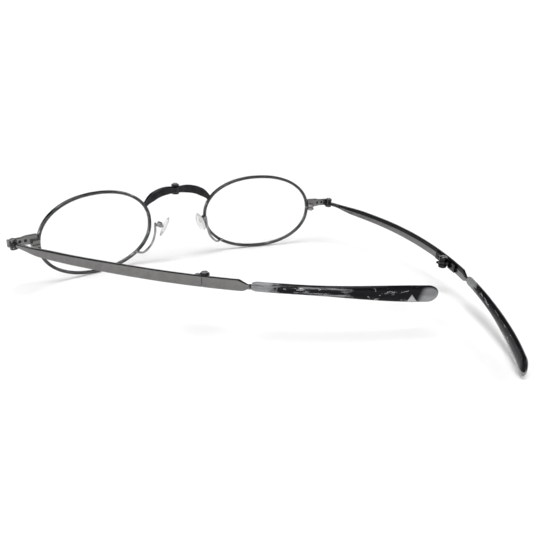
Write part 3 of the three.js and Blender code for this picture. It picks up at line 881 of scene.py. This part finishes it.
for side_name, (side_sign, side_pitch, side_closure, side_axis) in SIDES.items():
    build_front(side_name, side_sign, side_axis)
    build_temple(side_name, side_sign, side_pitch, side_closure, side_axis)

centre_screw = screw("bridge_screw_slotted", FRONT, -2.0, BRIDGE_HALF + TOUCH, shank=0.45, radius=0.85,
                     height=0.3, at=BRIDGE_AXIS, turn=0.7)
piece(centre_screw, "front_left", STEEL, "bright_steel", "bridge_screw")


# ---------- stage, light and camera, in metres ----------
FLOOR_Z, FLOOR_RADIUS, COVE_RADIUS, WALL_TOP = -0.0002, 0.7, 0.6, 1.0


def bowl_mesh():
    """A flat floor that curves up into a wall all round, seen from inside."""
    sides, cove_steps = 96, 16
    cove = [math.pi / 2 * k / cove_steps for k in range(1, cove_steps + 1)]
    profile = [(0.001, FLOOR_Z), (0.3, FLOOR_Z), (FLOOR_RADIUS, FLOOR_Z)]
    profile += [(FLOOR_RADIUS + COVE_RADIUS * math.sin(t), COVE_RADIUS * (1 - math.cos(t))) for t in cove]
    profile.append((FLOOR_RADIUS + COVE_RADIUS, WALL_TOP))
    turns_round = [2 * math.pi * k / sides for k in range(sides)]
    points = [(r * math.cos(t), r * math.sin(t), z) for r, z in profile for t in turns_round]
    faces = []
    for i in range(len(profile) - 1):
        here, there = i * sides, (i + 1) * sides
        for k in range(sides):
            m = (k + 1) % sides
            faces.append((here + k, here + m, there + m, there + k))
    points.append((0, 0, FLOOR_Z))
    faces += [(len(points) - 1, (k + 1) % sides, k) for k in range(sides)]
    mesh = bpy.data.meshes.new("studio_floor")
    mesh.from_pydata(points, [], [tuple(reversed(face)) for face in faces])
    for face in mesh.polygons:
        face.use_smooth = True
    return mesh


def bowl_material():
    """White that glows a little away from the middle, and turns dark grey up the wall."""
    shader = Shader("studio_white", Roughness=0.9, Specular_IOR_Level=0.1)
    place = shader.nodes.new("ShaderNodeSeparateXYZ")
    source = shader.nodes.new("ShaderNodeTexCoord")
    shader.links.new(source.outputs["Object"], place.inputs["Vector"])
    shade = shader.remap(place.outputs["Z"], 0.38, 0.56, 0, 1, smooth=True)
    shader.to(shader.mix(shade, (0.94, 0.94, 0.94), (0.16, 0.16, 0.16)), "Base Color")
    flat = shader.nodes.new("ShaderNodeCombineXYZ")
    for axis in "XY":
        shader.links.new(place.outputs[axis], flat.inputs[axis])
    radius = shader.nodes.new("ShaderNodeVectorMath")
    radius.operation = "LENGTH"
    shader.links.new(flat.outputs["Vector"], radius.inputs[0])
    glow = shader.remap(radius.outputs["Value"], 0.12, 0.75, 0, 0.5, smooth=True)
    shader.to(shader.math("MULTIPLY", glow, shader.math("SUBTRACT", 1, shade)), "Emission Strength")
    shader.bsdf.inputs["Emission Color"].default_value = (1, 1, 1, 1)
    return shader.material


def stage_bowl():
    mesh = bowl_mesh()
    obj = bpy.data.objects.new("studio_floor", mesh)
    bpy.context.scene.collection.objects.link(obj)
    mesh.materials.append(bowl_material())


def area_light(name, place, size, power):
    """A round light of a size in metres and a power in watts, aimed at the origin."""
    data = bpy.data.lights.new(name, "AREA")
    data.shape, data.size, data.energy = "DISK", size, power
    obj = bpy.data.objects.new(name, data)
    obj.location = place
    obj.rotation_euler = (-Vector(place)).to_track_quat("-Z", "Y").to_euler()
    bpy.context.scene.collection.objects.link(obj)


def studio_world(strength):
    world = bpy.data.worlds.new("studio_world")
    world.use_nodes = True
    background = world.node_tree.nodes["Background"]
    background.inputs["Color"].default_value = (1, 1, 1, 1)
    background.inputs["Strength"].default_value = strength
    bpy.context.scene.world = world
    bpy.context.scene.view_settings.view_transform = "Standard"


def photo_camera(place, look, right):
    """A camera from its place in front coordinates, its line of sight and its right."""
    sensor_width, focal_share = 36.0, 1.22
    look = look.normalized()
    right = (right - look * right.dot(look)).normalized()
    basis = Matrix((right, right.cross(look), -look)).transposed().to_4x4()
    data = bpy.data.cameras.new("photo_camera")
    data.sensor_width = sensor_width
    data.lens = sensor_width * focal_share
    data.clip_start = 0.005
    camera = bpy.data.objects.new("photo_camera", data)
    camera.matrix_world = Matrix.Translation((FRONT @ place) * MM) @ LEAN @ basis
    bpy.context.scene.collection.objects.link(camera)
    bpy.context.scene.camera = camera


stage_bowl()
area_light("top", (0.05, 0.10, 1.15), 0.9, 10)
area_light("near", (0.45, 0.95, 0.60), 0.35, 3.2)
area_light("left", (-1.0, 0.25, 0.50), 0.35, 3.0)
area_light("right", (1.0, -0.05, 0.50), 0.35, 3.0)
studio_world(0.03)
photo_camera(Vector((102.2, 212.1, 68.4)), Vector((-0.524, -0.775, -0.352)), Vector((-0.836, 0.547, 0.040)))
